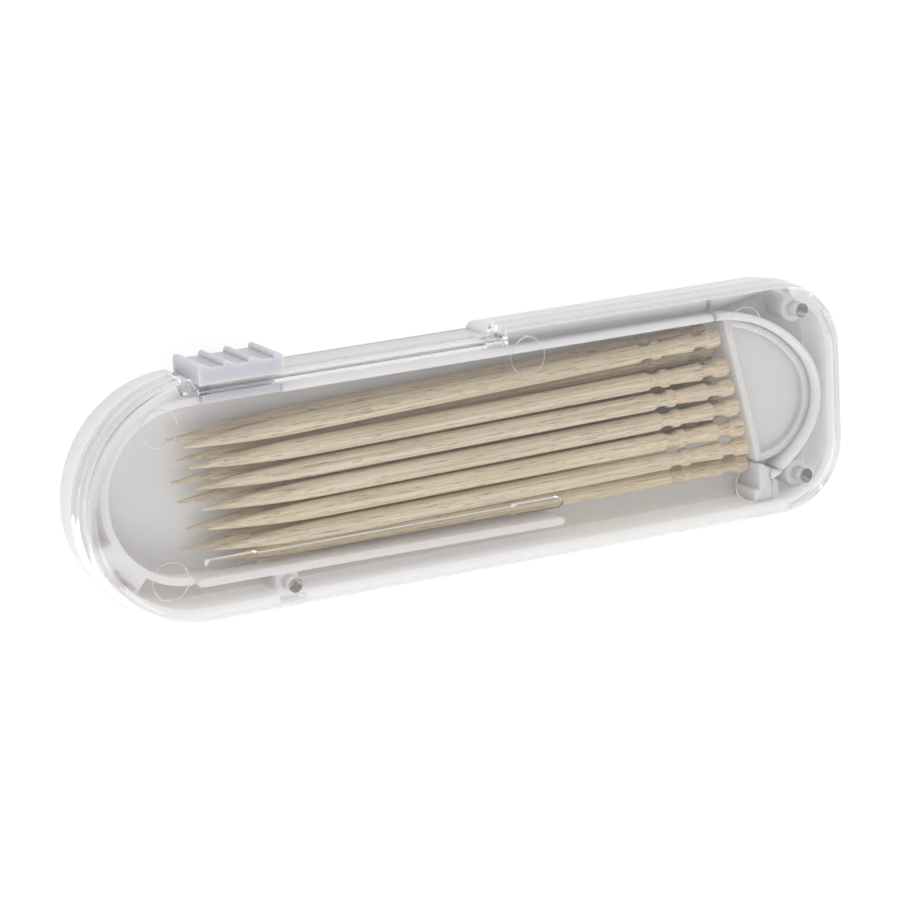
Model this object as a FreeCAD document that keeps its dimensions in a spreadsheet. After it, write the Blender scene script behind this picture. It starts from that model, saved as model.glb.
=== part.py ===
import FreeCAD, Part
import math
import os
import Sketcher
from FreeCAD import Placement, Rotation, Vector

# Pocket toothpick dispenser. The case lies on its back: Z = 0 is the outer
# face of the back shell, +Z points out through the clear cover, +X runs along
# the case from the round end to the square end, and +Y points to the slide
# button. The origin is the middle of the back face. All sizes in millimetres.

doc = FreeCAD.newDocument("ToothpickDispenser")

drivingDimensions = [
    # the case
    ("caseLength", 92.0), ("caseWidth", 26.6), ("cornerRadius", 8.2), ("backRadius", 1.0),
    ("coverRadius", 1.5), ("backDraft", 0.5), ("coverDraft", 0.4),
    ("partingHeight", 4.6), ("caseDepth", 8.2), ("floorThickness", 1.4), ("plateThickness", 1.4),
    ("coverWall", 1.1), ("rimGap", 0.05), ("rimThickness", 0.6), ("rimTop", 6.2),
    # the thumb recess in the button edge and the slot between the two shells
    ("recessStart", -32.7), ("recessEnd", 2.9), ("recessFloor", 12.0), ("recessWall", 0.9),
    ("recessEndWall", 1.1), ("recessCorner", 1.2),
    ("slotStart", -31.6), ("slotEnd", 1.9), ("slotBottom", 3.3), ("slotTop", 5.1),
    # the stick chamber: a half ring at the round end, level with the strip on the button's side
    ("chamberStart", -33.3), ("chamberEnd", 32.4), ("ringRadius", 9.9), ("chamberWall", 0.85),
    ("chamberTop", 5.5), ("chamberOpenStart", -33.7), ("chamberOpenEnd", 36.5),
    # the strip: straight along the sticks, then round the square end, tightest at the middle
    ("stripTop", 10.7), ("stripThickness", 0.85), ("stripBottom", 2.9), ("stripHeight", 3.3),
    ("sweepRadius", 15.03), ("apexCentre", 35.7), ("apexRadius", 8.0),
    # the island inside the strip's bend: its side at the sticks' heads leans
    ("islandGap", 0.12), ("islandTop", 5.0), ("islandFloor", 4.2), ("islandWall", 0.75),
    ("headSideX", 34.02), ("headSideLean", 0.225),
    # the exit lane
    ("laneY", -7.6), ("laneZ", 2.55), ("exitRadius", 1.25),
    # the slide button
    ("buttonStart", -32.2), ("buttonLength", 9.6), ("buttonBottom", 1.4), ("buttonWidth", 6.5),
    ("buttonGap", 0.15), ("buttonBase", 1.8), ("ridgePitch", 2.87), ("ridgeHeight", 0.52),
    ("ridgeLength", 1.75), ("ridgeCount", 4), ("shoulderRadius", 0.4),
    ("stemStart", -30.2), ("stemLength", 7.0), ("stemThickness", 1.3),
    ("footStart", -31.2), ("footLength", 9.0), ("footBottom", 2.7), ("footHeight", 3.0),
    # the pusher head at the end of the strip
    ("fingerStart", 35.5), ("fingerTop", -7.3), ("pusherStart", 35.9), ("pusherEnd", 36.85),
    ("pusherTop", -7.7), ("pusherFoot", -11.2), ("footStep", -10.2), ("pusherFootStart", 34.7),
    ("pusherBottom", 1.55), ("pusherHeight", 4.2),
    ("markRadius", 2.04), ("markDepth", 0.06),
    # press pins of the cover in bosses of the back shell
    ("pinRadius", 0.8), ("pinFit", 0.02), ("pinEnd", 3.2), ("bossRadius", 1.5), ("bossTop", 5.0),
    # sticks
    ("stickLength", 65.0), ("stickRadius", 1.05), ("lowerLayer", 2.47), ("upperLayer", 4.6),
]

sheet = doc.addObject("Spreadsheet::Sheet", "Sizes")
for row, (alias, size) in enumerate(drivingDimensions, start=1):
    sheet.set("A%d" % row, alias)
    sheet.set("B%d" % row, str(size))
    sheet.setAlias("B%d" % row, alias)
doc.recompute()


def sized(text):
    """Turn the aliases in a formula into references to the sheet."""
    words = sorted((alias for alias, _ in drivingDimensions), key=len, reverse=True)
    for word in words:
        text = text.replace(word, "\0%d\0" % words.index(word))
    for index, word in enumerate(words):
        text = text.replace("\0%d\0" % index, "Sizes." + word)
    return text


def value(text):
    """The present size of a formula."""
    return float(sheet.evalExpression(sized(text)))


def newSketch(body, name, height="", plane="XY_Plane"):
    """A sketch on one of the body's own planes, lifted to a height."""
    support = [feature for feature in body.Origin.OriginFeatures if feature.Role == plane][0]
    sketch = body.newObject("Sketcher::SketchObject", name)
    sketch.AttachmentSupport = [(support, "")]
    sketch.MapMode = "FlatFace"
    if height:
        sketch.setExpression("AttachmentOffset.Base.z", sized(height))
    return sketch


def dimension(sketch, kind, *targets, size):
    """Add a dimension that follows a formula."""
    index = sketch.addConstraint(Sketcher.Constraint(kind, *targets, value(size)))
    sketch.setExpression("Constraints[%d]" % index, sized(size))


def place(sketch, geometry, point, x=None, y=None):
    """Give a point of the sketch its distance from the origin."""
    if x is not None:
        dimension(sketch, "DistanceX", -1, 1, geometry, point, size=x)
    if y is not None:
        dimension(sketch, "DistanceY", -1, 1, geometry, point, size=y)


def close(sketch, first, count, kind="Coincident"):
    """Join the end of each edge of a loop to the start of the next."""
    for index in range(count):
        following = first + (index + 1) % count
        sketch.addConstraint(Sketcher.Constraint(kind, first + index, 2, following, 1))


def arc(x, y, radius, start, end):
    circle = Part.Circle(Vector(x, y, 0), Vector(0, 0, 1), radius)
    return Part.ArcOfCircle(circle, math.radians(start), math.radians(end))


def line(x1, y1, x2, y2):
    return Part.LineSegment(Vector(x1, y1, 0), Vector(x2, y2, 0))


def addRectangle(sketch, left, bottom, right, top):
    x1, y1, x2, y2 = value(left), value(bottom), value(right), value(top)
    first = sketch.GeometryCount
    for ends in ((x1, y1, x2, y1), (x2, y1, x2, y2), (x2, y2, x1, y2), (x1, y2, x1, y1)):
        sketch.addGeometry(line(*ends), False)
    close(sketch, first, 4)
    for index, kind in enumerate(("Horizontal", "Vertical", "Horizontal", "Vertical")):
        sketch.addConstraint(Sketcher.Constraint(kind, first + index))
    place(sketch, first, 1, left, bottom)
    place(sketch, first + 1, 2, right, top)


def addCircle(sketch, x, y, radius):
    circle = Part.Circle(Vector(value(x), value(y), 0), Vector(0, 0, 1), value(radius))
    index = sketch.addGeometry(circle, False)
    dimension(sketch, "Radius", index, size=radius)
    place(sketch, index, 3, x, y)


def addCaseOutline(sketch, inset):
    """The case seen from the front: a half circle at -X, two round corners at +X."""
    half = value("caseWidth / 2 - " + inset)
    corner = value("cornerRadius - " + inset)
    right = value("caseLength / 2 - " + inset)
    centre = value("(caseWidth - caseLength) / 2")
    turn = right - corner
    first = sketch.GeometryCount
    for edge in (arc(centre, 0, half, 90, 270), line(centre, -half, turn, -half),
                 arc(turn, corner - half, corner, 270, 360),
                 line(right, corner - half, right, half - corner),
                 arc(turn, half - corner, corner, 0, 90), line(turn, half, centre, half)):
        sketch.addGeometry(edge, False)
    close(sketch, first, 6, "Tangent")
    sketch.addConstraint(Sketcher.Constraint("PointOnObject", first, 3, -1))
    sketch.addConstraint(Sketcher.Constraint("Horizontal", first + 1))
    sketch.addConstraint(Sketcher.Constraint("Vertical", first + 3))
    sketch.addConstraint(Sketcher.Constraint("Equal", first + 2, first + 4))
    dimension(sketch, "Radius", first, size="caseWidth / 2 - " + inset)
    dimension(sketch, "Radius", first + 2, size="cornerRadius - " + inset)
    place(sketch, first, 3, x="(caseWidth - caseLength) / 2")
    place(sketch, first + 3, 1, x="caseLength / 2 - " + inset)


def addChamber(sketch, inset):
    """A half circle at -X, two straight sides, and a square end that is cut away later."""
    x, right = value("chamberStart"), value("chamberEnd - " + inset)
    radius, y = value("ringRadius - " + inset), value("stripTop - ringRadius")
    first = sketch.GeometryCount
    for edge in (arc(x, y, radius, 90, 270), line(x, y - radius, right, y - radius),
                 line(right, y - radius, right, y + radius), line(right, y + radius, x, y + radius)):
        sketch.addGeometry(edge, False)
    for one, two, kind in ((0, 1, "Tangent"), (1, 2, "Coincident"), (2, 3, "Coincident"),
                           (3, 0, "Tangent")):
        sketch.addConstraint(Sketcher.Constraint(kind, first + one, 2, first + two, 1))
    for index, kind in ((1, "Horizontal"), (2, "Vertical"), (3, "Horizontal")):
        sketch.addConstraint(Sketcher.Constraint(kind, first + index))
    dimension(sketch, "Radius", first, size="ringRadius - " + inset)
    place(sketch, first, 3, "chamberStart", "stripTop - ringRadius")
    place(sketch, first + 2, 1, x="chamberEnd - " + inset)


def addBar(sketch, x1, y1, x2, y2, width):
    """A straight wall with round ends, seen from the front."""
    ax, ay, bx, by, radius = value(x1), value(y1), value(x2), value(y2), value(width) / 2
    heading = math.degrees(math.atan2(by - ay, bx - ax))
    ox = -radius * math.sin(math.radians(heading))
    oy = radius * math.cos(math.radians(heading))
    first = sketch.GeometryCount
    for edge in (arc(ax, ay, radius, heading + 90, heading + 270),
                 line(ax - ox, ay - oy, bx - ox, by - oy),
                 arc(bx, by, radius, heading - 90, heading + 90),
                 line(bx + ox, by + oy, ax + ox, ay + oy)):
        sketch.addGeometry(edge, False)
    close(sketch, first, 4, "Tangent")
    dimension(sketch, "Radius", first, size="(%s) / 2" % width)
    place(sketch, first, 3, x1, y1)
    place(sketch, first + 2, 3, x2, y2)


def addBand(sketch, centre, inner, outer, start, end):
    """A piece of a ring between two angles, about a point on the X axis."""
    x, r1, r2, a, b = value(centre), value(inner), value(outer), value(start), value(end)
    cosA, sinA = math.cos(math.radians(a)), math.sin(math.radians(a))
    cosB, sinB = math.cos(math.radians(b)), math.sin(math.radians(b))
    first = sketch.GeometryCount
    for edge in (arc(x, 0, r2, a, b), line(x + r2 * cosB, r2 * sinB, x + r1 * cosB, r1 * sinB),
                 arc(x, 0, r1, a, b), line(x + r1 * cosA, r1 * sinA, x + r2 * cosA, r2 * sinA)):
        sketch.addGeometry(edge, False)
    for pair in (((0, 2), (1, 1)), ((1, 2), (2, 2)), ((2, 1), (3, 1)), ((3, 2), (0, 1))):
        (one, oneEnd), (two, twoEnd) = pair
        sketch.addConstraint(Sketcher.Constraint("Coincident", first + one, oneEnd,
                                                 first + two, twoEnd))
    sketch.addConstraint(Sketcher.Constraint("Coincident", first, 3, first + 2, 3))
    sketch.addConstraint(Sketcher.Constraint("PointOnObject", first, 3, -1))
    place(sketch, first, 3, x=centre)
    for index, radius in ((0, outer), (2, inner)):
        dimension(sketch, "Radius", first + index, size=radius)
        for point, angle in ((1, start), (2, end)):
            foot = "%s + (%s) * sin(%s + 90)" % (centre, radius, angle)
            place(sketch, first + index, point, x=foot)


def newBody(label):
    body = doc.addObject("PartDesign::Body", label)
    body.Label = label
    return body


def pad(body, sketch, length):
    """Add the sketch's area, from its plane towards +Z."""
    feature = body.newObject("PartDesign::Pad", sketch.Name + "Pad")
    feature.Profile = sketch
    feature.setExpression("Length", sized(length))
    sketch.Visibility = False
    doc.recompute()
    return feature


def pocket(body, sketch, depth, upwards=False):
    """Cut the sketch's area away below its plane, or above it, and check that it cut."""
    before = body.Shape.Volume
    feature = body.newObject("PartDesign::Pocket", sketch.Name + "Pocket")
    feature.Profile = sketch
    feature.Reversed = upwards
    feature.setExpression("Length", sized(depth))
    sketch.Visibility = False
    doc.recompute()
    if body.Shape.Volume >= before:
        raise RuntimeError(sketch.Name + " cuts nothing")
    return feature


def fillet(body, base, radius, wanted):
    """Round the edges of a feature for which wanted(edge) is true."""
    names = ["Edge%d" % (n + 1) for n, edge in enumerate(base.Shape.Edges) if wanted(edge)]
    feature = body.newObject("PartDesign::Fillet", base.Name + "Fillet")
    feature.Base = (base, names)
    feature.setExpression("Radius", sized(radius))
    doc.recompute()
    return feature


def draft(body, base, neutral, angle, turned=False):
    """Lean the upright faces of a pad; its outline stays as drawn at one height."""
    faces = list(enumerate(base.Shape.Faces))
    upright = ["Face%d" % (n + 1) for n, face in faces if abs(face.normalAt(0, 0).z) < 1e-6]
    level = ["Face%d" % (n + 1) for n, face in faces
             if all(abs(vertex.Z - value(neutral)) < 1e-6 for vertex in face.Vertexes)]
    feature = body.newObject("PartDesign::Draft", base.Name + "Draft")
    feature.Base = (base, upright)
    feature.NeutralPlane = (base, level)
    feature.Reversed = turned
    feature.setExpression("Angle", sized(angle))
    doc.recompute()
    return feature


def edgesAt(height):
    """A test for edges that lie at one height."""
    return lambda edge: all(abs(vertex.Z - height) < 1e-6 for vertex in edge.Vertexes)


def uprightAt(spots):
    """A test for edges along Z that pass through one of the given (x, y) spots."""
    def wanted(edge):
        first, last = edge.Vertexes[0].Point, edge.Vertexes[-1].Point
        flat = math.hypot(first.x - last.x, first.y - last.y) < 1e-6
        near = any(math.hypot(first.x - x, first.y - y) < 1e-3 for x, y in spots)
        return flat and near and abs(first.z - last.z) > 1e-6
    return wanted


def addWall(body, name, bottom, height, shape, *sizes):
    """One pad of one shape, from a height upwards."""
    sketch = newSketch(body, name, bottom)
    shape(sketch, *sizes)
    return pad(body, sketch, height)


def cutBelow(body, name, top, depth, shape, *sizes):
    """One pocket of one shape, from a height downwards."""
    sketch = newSketch(body, name, top)
    shape(sketch, *sizes)
    return pocket(body, sketch, depth)


def addRecess(sketch):
    """The thumb recess: a shallow notch whose mouth corners turn round into the case's edge."""
    left, right, floor = value("recessStart"), value("recessEnd"), value("recessFloor")
    side, corner = value("caseWidth / 2"), value("recessCorner")
    out = side + 1
    first = sketch.GeometryCount
    for edge in (line(left, floor, right, floor), line(right, floor, right, side - corner),
                 arc(right + corner, side - corner, corner, 90, 180),
                 line(right + corner, side, right + corner, out),
                 line(right + corner, out, left - corner, out),
                 line(left - corner, out, left - corner, side),
                 arc(left - corner, side - corner, corner, 0, 90),
                 line(left, side - corner, left, floor)):
        sketch.addGeometry(edge, False)
    joints = ((0, 2, 1, 1), (1, 2, 2, 2), (2, 1, 3, 1), (3, 2, 4, 1), (4, 2, 5, 1), (5, 2, 6, 2),
              (6, 1, 7, 1), (7, 2, 0, 1))
    for one, oneEnd, two, twoEnd in joints:
        kind = "Tangent" if (one, two) in ((1, 2), (6, 7)) else "Coincident"
        sketch.addConstraint(Sketcher.Constraint(kind, first + one, oneEnd, first + two, twoEnd))
    for index, kind in ((0, "Horizontal"), (1, "Vertical"), (3, "Vertical"), (4, "Horizontal"),
                        (5, "Vertical"), (7, "Vertical")):
        sketch.addConstraint(Sketcher.Constraint(kind, first + index))
    place(sketch, first, 1, "recessStart", "recessFloor")
    place(sketch, first + 1, 1, x="recessEnd")
    for index in (2, 6):
        dimension(sketch, "Radius", first + index, size="recessCorner")
        place(sketch, first + index, 3, y="caseWidth / 2 - recessCorner")
    place(sketch, first + 3, 1, x="recessEnd + recessCorner")
    place(sketch, first + 5, 2, x="recessStart - recessCorner")
    place(sketch, first + 3, 2, y="caseWidth / 2 + 1")


def addStripPath(sketch):
    """Both sides of the strip: straight, a wide sweep, a tighter apex, and a wide sweep back."""
    start, tail, top = value("footStart + footLength"), value("pusherEnd"), value("stripTop")
    apex, thickness = value("apexCentre"), value("stripThickness")
    spread, rise = value("sweepRadius - apexRadius"), value("sweepRadius - stripTop")
    bend = math.degrees(math.asin(rise / spread))
    x = apex - spread * math.cos(math.radians(bend))
    for inset in (0.0, thickness):
        big, small = value("sweepRadius") - inset, value("apexRadius") - inset
        last = -math.degrees(math.acos((tail - x) / big))
        for edge in (line(start, top - inset, x, top - inset), arc(x, -rise, big, bend, 90),
                     arc(apex, 0, small, -bend, bend), arc(x, rise, big, last, -bend)):
            sketch.addGeometry(edge, False)
    ends = [(x + (value("sweepRadius") - inset) * math.cos(math.radians(angle)),
             rise + (value("sweepRadius") - inset) * math.sin(math.radians(angle)))
            for inset in (0.0, thickness)
            for angle in [-math.degrees(math.acos((tail - x) / (value("sweepRadius") - inset)))]]
    sketch.addGeometry(line(*ends[0], *ends[1]), False)
    sketch.addGeometry(line(start, top, start, top - thickness), False)
    for side, inset in ((0, "0"), (4, "stripThickness")):
        for one, oneEnd, two, twoEnd in ((0, 2, 1, 2), (1, 1, 2, 2), (2, 1, 3, 2)):
            sketch.addConstraint(Sketcher.Constraint("Tangent", side + one, oneEnd,
                                                     side + two, twoEnd))
        sketch.addConstraint(Sketcher.Constraint("Horizontal", side))
        sketch.addConstraint(Sketcher.Constraint("PointOnObject", side + 2, 3, -1))
        sketch.addConstraint(Sketcher.Constraint("Vertical", side + 1, 3, side + 3, 3))
        dimension(sketch, "Radius", side + 1, size="sweepRadius - " + inset)
        dimension(sketch, "Radius", side + 2, size="apexRadius - " + inset)
        dimension(sketch, "Radius", side + 3, size="sweepRadius - " + inset)
        place(sketch, side + 2, 3, x="apexCentre")
        place(sketch, side, 1, "footStart + footLength", "stripTop - " + inset)
        place(sketch, side + 3, 1, x="pusherEnd")
    for one, oneEnd, two, twoEnd in ((8, 1, 3, 1), (8, 2, 7, 1), (9, 1, 0, 1), (9, 2, 4, 1)):
        sketch.addConstraint(Sketcher.Constraint("Coincident", one, oneEnd, two, twoEnd))


def addIsland(sketch, inset):
    """A D inside the strip's bend: a leaning side, a wide sweep and a round apex."""
    gap = value("stripThickness + islandGap + " + inset)
    big, small = value("sweepRadius") - gap, value("apexRadius") - gap
    spread, rise = value("sweepRadius - apexRadius"), value("sweepRadius - stripTop")
    bend = math.degrees(math.asin(rise / spread))
    apex = value("apexCentre")
    x = apex - spread * math.cos(math.radians(bend))
    lean = value("headSideLean")
    side = value("headSideX + %s" % inset)

    def meet(cx, cy, radius, upper):
        # where x = side - lean * y crosses a circle
        a, b = 1 + lean * lean, -2 * lean * (side - cx) - 2 * cy
        c = (side - cx) ** 2 + cy * cy - radius * radius
        y = (-b + (1 if upper else -1) * math.sqrt(b * b - 4 * a * c)) / (2 * a)
        return side - lean * y, y

    topX, topY = meet(x, -rise, big, True)
    lowX, lowY = meet(apex, 0, small, False)
    topAngle = math.degrees(math.atan2(topY + rise, topX - x))
    lowAngle = math.degrees(math.atan2(lowY, lowX - apex))
    first = sketch.GeometryCount
    for edge in (arc(x, -rise, big, bend, topAngle), arc(apex, 0, small, lowAngle, bend),
                 line(lowX, lowY, topX, topY)):
        sketch.addGeometry(edge, False)
    sketch.addConstraint(Sketcher.Constraint("Tangent", first, 1, first + 1, 2))
    sketch.addConstraint(Sketcher.Constraint("Coincident", first + 1, 1, first + 2, 1))
    sketch.addConstraint(Sketcher.Constraint("Coincident", first + 2, 2, first, 2))
    sketch.addConstraint(Sketcher.Constraint("PointOnObject", first + 1, 3, -1))
    size = "stripThickness + islandGap + " + inset
    dimension(sketch, "Radius", first, size="sweepRadius - (%s)" % size)
    dimension(sketch, "Radius", first + 1, size="apexRadius - (%s)" % size)
    place(sketch, first + 1, 3, x="apexCentre")
    place(sketch, first, 3, x="apexCentre - sqrt((sweepRadius - apexRadius)^2"
                              " - (sweepRadius - stripTop)^2)")
    place(sketch, first + 2, 2, x="headSideX + %s + %.4f" % (inset, topX - side))
    place(sketch, first + 2, 1, x="headSideX + %s + %.4f" % (inset, lowX - side))


# pins of the cover: (x, y) of each
pinSpots = [("-22.5", "-10.75"), ("40.9", "9.75"), ("40.85", "-9.1")]

# ejector marks of the cover: (x, y) of each
ejectorSpots = [("6.3", "9.6"), ("-36.6", "-7.9"), ("33.7", "-8.9"), ("33.5", "9.1"), ("-36.8", "8.3")]

rimOuterInset = "(coverWall + rimGap)"
rimInnerInset = "(coverWall + rimGap + rimThickness)"


def makeBackShell():
    body = newBody("back_shell")
    # outer block with a round back edge
    block = addWall(body, "Block", "", "partingHeight", addCaseOutline, "0")
    block = draft(body, block, "partingHeight", "atan(backDraft / partingHeight)", True)
    fillet(body, block, "backRadius", edgesAt(0.0))
    # rim that stands inside the cover's wall
    addWall(body, "Rim", "partingHeight", "rimTop - partingHeight", addCaseOutline, rimOuterInset)
    cutBelow(body, "Cavity", "rimTop", "rimTop - floorThickness", addCaseOutline, rimInnerInset)
    cutBelow(body, "RimGap", "rimTop", "rimTop - partingHeight", addRectangle,
             "recessStart - 5.3", "recessFloor - 2.6", "recessEnd + recessEndWall + 0.6",
             "caseWidth")
    # wall, recess and slot at the button
    addWall(body, "RecessWall", "backRadius", "partingHeight - backRadius", addRectangle,
            "recessStart - recessEndWall", "recessFloor - recessWall",
            "recessEnd + recessEndWall", "recessFloor + recessWall / 4")
    cutBelow(body, "Recess", "partingHeight", "partingHeight + 1", addRecess)
    cutBelow(body, "Slot", "partingHeight", "partingHeight - slotBottom", addRectangle,
             "slotStart", "recessFloor - recessWall - 0.1", "slotEnd", "recessFloor + 0.1")
    # chamber ring, opened along the exit lane
    ring = newSketch(body, "ChamberRing", "floorThickness")
    addChamber(ring, "0")
    addChamber(ring, "chamberWall")
    pad(body, ring, "chamberTop - floorThickness")
    cutBelow(body, "LaneSide", "chamberTop", "chamberTop - floorThickness", addRectangle,
             "chamberOpenStart", "-stripTop", "chamberOpenEnd", "-ringRadius / 2")
    # the ring ends before the island, and beside the strip it is only a low kerb
    cutBelow(body, "RingRight", "chamberTop", "chamberTop - floorThickness", addRectangle,
             "chamberEnd - 1.4", "-stripTop", "apexCentre + apexRadius", "stripTop + 0.2")
    cutBelow(body, "StripSide", "chamberTop", "chamberTop - stripBottom + 0.4", addRectangle,
             "footStart - 0.3", "stripTop - 2 * chamberWall", "chamberEnd", "stripTop + 0.2")
    # walls that stand on the floor: (name, x1, y1, x2, y2)
    walls = [
        ("RingEnd", "chamberOpenStart - 0.3", "stripTop - 2 * ringRadius + chamberWall / 2 + 0.09",
         "chamberOpenStart", "stripTop - 2 * ringRadius + chamberWall / 2 + 0.05"),
        ("LaneWall", "chamberOpenStart + 1.2", "laneY - 1.52", "10.2", "laneY - 1.93"),
        ("MouthWall", "37.45", "-9.6", "37.55", "-11.3"),
    ]
    for name, x1, y1, x2, y2 in walls:
        addWall(body, name, "floorThickness", "chamberTop - floorThickness",
                addBar, x1, y1, x2, y2, "chamberWall")
    # the island that the strip bends round, and that the sticks' heads lie against
    addWall(body, "Island", "floorThickness", "islandTop - floorThickness", addIsland, "0")
    cutBelow(body, "IslandFloor", "islandTop", "islandTop - islandFloor", addIsland, "islandWall")
    # bosses for the cover's pins; the rim makes way for the first one
    x, y = pinSpots[0]
    cutBelow(body, "RimBreak", "rimTop", "rimTop - bossTop", addRectangle,
             x + " - 1.6", "-caseWidth / 2", x + " + 1.6", y)
    addWall(body, "BossBlock", "floorThickness", "bossTop - floorThickness", addRectangle,
            "-23.9", "-recessFloor", "-21.3", "-9.4")
    for number, (x, y) in enumerate(pinSpots, start=1):
        if number > 1:
            addWall(body, "Boss%d" % number, "floorThickness", "bossTop - floorThickness",
                    addCircle, x, y, "bossRadius")
        cutBelow(body, "PinHole%d" % number, "bossTop", "bossTop - floorThickness",
                 addCircle, x, y, "pinRadius + pinFit")
    # exit for one stick: a pad between ring and rim, a bore through both and a slot over the bore
    notchCentre = "(caseWidth - caseLength) / 2"
    addWall(body, "ExitPad", "floorThickness", "chamberTop - floorThickness", addBand, notchCentre,
            "ringRadius - 0.6", "caseWidth / 2 - %s + 0.1" % rimInnerInset, "198", "231")
    bore = newSketch(body, "ExitBore", "chamberStart + 1.5", plane="YZ_Plane")
    addCircle(bore, "laneY", "laneZ", "exitRadius")
    pocket(body, bore, "caseLength / 4")
    cutBelow(body, "ExitNotch", "rimTop", "rimTop - laneZ", addBand, notchCentre,
             "11.05", "11.5", "213", "228.6")
    return body


def makeFrontCover():
    body = newBody("front_cover")
    block = addWall(body, "Plate", "partingHeight", "caseDepth - partingHeight",
                    addCaseOutline, "0")
    block = draft(body, block, "partingHeight",
                  "atan(coverDraft / (caseDepth - partingHeight))")
    fillet(body, block, "coverRadius", edgesAt(value("caseDepth")))
    hollow = newSketch(body, "Hollow", "partingHeight")
    addCaseOutline(hollow, "coverWall")
    pocket(body, hollow, "caseDepth - plateThickness - partingHeight", upwards=True)
    addWall(body, "RecessWall", "partingHeight", "caseDepth - plateThickness - partingHeight",
            addRectangle, "recessStart - recessEndWall", "recessFloor - recessWall",
            "recessEnd + recessEndWall", "recessFloor + recessWall / 4")
    cutBelow(body, "Recess", "caseDepth", "caseDepth", addRecess)
    cutBelow(body, "Slot", "slotTop", "caseDepth", addRectangle,
             "slotStart", "recessFloor - recessWall - 0.1", "slotEnd", "recessFloor + 0.1")
    # stiffening bar over the exit lane, with a stouter foot at each end
    addWall(body, "LaneBar", "caseDepth - plateThickness - 0.7", "0.8", addBar,
            "-31.9", "-7.0", "9.3", "-7.0", "0.8")
    for number, (x1, x2) in enumerate((("-31.9", "-26.7"), ("4.2", "9.3")), start=1):
        addWall(body, "LaneFoot%d" % number, "caseDepth - plateThickness - 0.9", "0.9", addBar,
                x1, "-7.0", x2, "-7.0", "1.1")
    # shallow round marks of the mould's ejector pins, on the inside of the plate
    for number, (x, y) in enumerate(ejectorSpots, start=1):
        mark = newSketch(body, "EjectorMark%d" % number, "caseDepth - plateThickness")
        addCircle(mark, x, y, "markRadius")
        pocket(body, mark, "markDepth", upwards=True)
    for number, (x, y) in enumerate(pinSpots, start=1):
        addWall(body, "Pin%d" % number, "pinEnd", "caseDepth - plateThickness - pinEnd + markDepth",
                addCircle, x, y, "pinRadius")
    return body


def addRidge(sketch):
    """One thumb ridge: steep towards -X, sloping down towards +X, with a round crest."""
    x = value("buttonStart")
    base = value("recessFloor + buttonGap + buttonBase")
    height, length = value("ridgeHeight"), value("ridgeLength")
    crest = 0.4
    top = base + height
    slope = math.degrees(math.atan2(height, length - 2 * crest))
    touchX = x + crest + crest * math.sin(math.radians(slope))
    touchY = top - crest + crest * math.cos(math.radians(slope))
    foot = touchX + (touchY - base) / math.tan(math.radians(slope))
    first = sketch.GeometryCount
    for edge in (line(x, base - 0.1, foot, base - 0.1), line(foot, base - 0.1, foot, base),
                 line(foot, base, touchX, touchY),
                 arc(x + crest, top - crest, crest, 90 - slope, 180),
                 line(x, top - crest, x, base - 0.1)):
        sketch.addGeometry(edge, False)
    close(sketch, first, 5)
    for index, kind in ((0, "Horizontal"), (1, "Vertical"), (4, "Vertical")):
        sketch.addConstraint(Sketcher.Constraint(kind, first + index))
    place(sketch, first, 1, "buttonStart", "recessFloor + buttonGap + buttonBase - 0.1")
    place(sketch, first + 3, 3, y="recessFloor + buttonGap + buttonBase + ridgeHeight - %g" % crest)
    place(sketch, first + 3, 3, x="buttonStart + %g" % crest)
    place(sketch, first + 1, 2, "buttonStart + %g" % (foot - x),
          "recessFloor + buttonGap + buttonBase")
    place(sketch, first + 3, 1, x="buttonStart + %g" % (touchX - x))


def makeSlideButton():
    body = newBody("slide_button")
    addWall(body, "Grip", "buttonBottom", "buttonWidth", addRectangle,
            "buttonStart", "recessFloor + buttonGap", "buttonStart + buttonLength",
            "recessFloor + buttonGap + buttonBase")
    ridge = addWall(body, "Ridge", "buttonBottom", "buttonWidth", addRidge)
    row = body.newObject("PartDesign::LinearPattern", "Ridges")
    row.Originals = [ridge]
    row.Direction = ([f for f in body.Origin.OriginFeatures if f.Role == "X_Axis"][0], [""])
    row.setExpression("Length", sized("ridgePitch * (ridgeCount - 1)"))
    row.setExpression("Occurrences", sized("ridgeCount"))
    body.Tip = row
    doc.recompute()
    # the last ridge ends with the grip, in a round shoulder
    end = cutBelow(body, "GripEnd", "buttonBottom + buttonWidth", "buttonWidth", addRectangle,
                   "buttonStart + buttonLength", "recessFloor", "buttonStart + buttonLength + 2",
                   "recessFloor + 4")
    face = value("buttonStart + buttonLength")
    base = value("recessFloor + buttonGap + buttonBase")

    def shoulder(edge):
        first, last = edge.Vertexes[0].Point, edge.Vertexes[-1].Point
        return (abs(first.x - face) < 1e-6 and abs(last.x - face) < 1e-6
                and abs(first.y - last.y) < 1e-6 and first.y > base + 0.01)
    fillet(body, end, "shoulderRadius", shoulder)
    # stem through the slot, and the foot that rides in the channel behind it
    addWall(body, "Stem", "(slotBottom + slotTop - stemThickness) / 2", "stemThickness",
            addRectangle, "stemStart", "recessFloor - recessWall - 0.2",
            "stemStart + stemLength", "recessFloor + buttonGap + 0.1")
    addWall(body, "Foot", "footBottom", "footHeight", addRectangle, "footStart",
            "stripTop - stripThickness", "footStart + footLength", "recessFloor - recessWall - 0.12")
    return body


def makePusherStrip():
    """The strip at rest: along the sticks and round the square end, as it bends by itself."""
    body = newBody("pusher_strip")
    addWall(body, "StripPath", "stripBottom", "stripHeight", addStripPath)
    return body


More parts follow.
